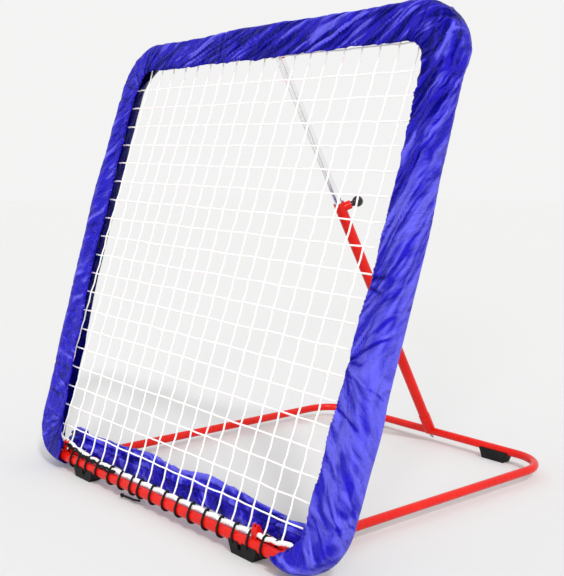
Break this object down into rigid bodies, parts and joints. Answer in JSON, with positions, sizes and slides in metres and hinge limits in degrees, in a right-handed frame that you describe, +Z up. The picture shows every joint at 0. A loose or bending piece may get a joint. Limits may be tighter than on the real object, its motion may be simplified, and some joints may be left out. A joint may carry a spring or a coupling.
{
  "type": "pitch back rebounder",
  "caption": "Square tube frame laced with a white net, leaning back on a U-shaped floor base and a telescopic strut with a clamp knob.",
  "frame": {"origin": "on the floor, under the middle of the whole object's width and depth", "axes": "+X to the right seen from the front, +Y from the net to the strut's foot, +Z up"},
  "size_m": [1.02, 0.8788, 0.9874],
  "materials": {
    "red_paint": "gloss red powder coat",
    "bare_steel": "bright plated tube",
    "zinc": "zinc plated fasteners",
    "rubber": "matte black moulded rubber",
    "black_plastic": "black phenolic or nylon",
    "white_cord": "white knotted twine and braided rope",
    "bungee": "black elastic cord",
    "blue_nylon": "shiny royal blue coated nylon, gathered"
  },
  "bodies": {
    "base": {"base_tube": "red_paint", "hinge_sleeves": "red_paint", "hinge_bolts": "zinc", "hinge_nuts": "zinc", "rear_feet": "rubber", "rear_foot_screws": "zinc"},
    "net_frame": {"frame_bottom_tube": "red_paint", "frame_top_tube": "red_paint", "frame_left_tube": "red_paint", "frame_right_tube": "red_paint", "frame_spigots": "zinc", "hinge_ears": "red_paint", "front_feet": "rubber", "front_foot_screws": "zinc", "top_bracket": "red_paint", "top_pivot_bolt": "zinc", "top_pivot_nut": "zinc", "net": "white_cord", "border_rope": "white_cord", "lacing_bottom": "bungee", "lacing_top": "bungee", "lacing_left": "bungee", "lacing_right": "bungee", "lacing_tail": "bungee", "lacing_knot": "bungee", "cover_left": "blue_nylon", "cover_top": "blue_nylon", "cover_right": "blue_nylon", "cover_bottom": "blue_nylon"},
    "strut_outer": {"strut_socket": "red_paint", "strut_outer_tube": "red_paint", "strut_bolt": "zinc", "strut_nut": "zinc", "clamp_boss": "red_paint", "guide_bush": "black_plastic"},
    "clamp": {"clamp_stud": "zinc", "clamp_knob": "black_plastic"},
    "strut_inner": {"strut_inner_tube": "bare_steel", "inner_plug": "black_plastic"}
  },
  "joints": [
    {"name": "frame_tilt", "type": "hinge", "parent": "base", "child": "net_frame", "pos_m": [0, -0.3883, 0.03], "axis": [-1, 0, 0], "range_deg": [-4, 14.5]},
    {"name": "strut_swing", "type": "hinge", "parent": "base", "child": "strut_outer", "pos_m": [0, 0.4257, 0.028], "axis": [-1, 0, 0], "range_deg": [-2.6, 9.2]},
    {"name": "strut_slide", "type": "slide", "parent": "strut_outer", "child": "strut_inner", "axis": [0, -0.5046, 0.8633], "range_m": [-0.187, 0.0515]},
    {"name": "clamp_turn", "type": "hinge", "parent": "strut_outer", "child": "clamp", "pos_m": [0, 0.0881, 0.60557], "axis": [0.6157, 0.6803, 0.3977], "range_deg": [0, 360]}
  ],
  "couplings": [
    {"joint": "strut_swing", "follows": "frame_tilt", "ratio": 0.6273},
    {"joint": "strut_slide", "follows": "frame_tilt", "m_per_rad": -0.7303}
  ]
}
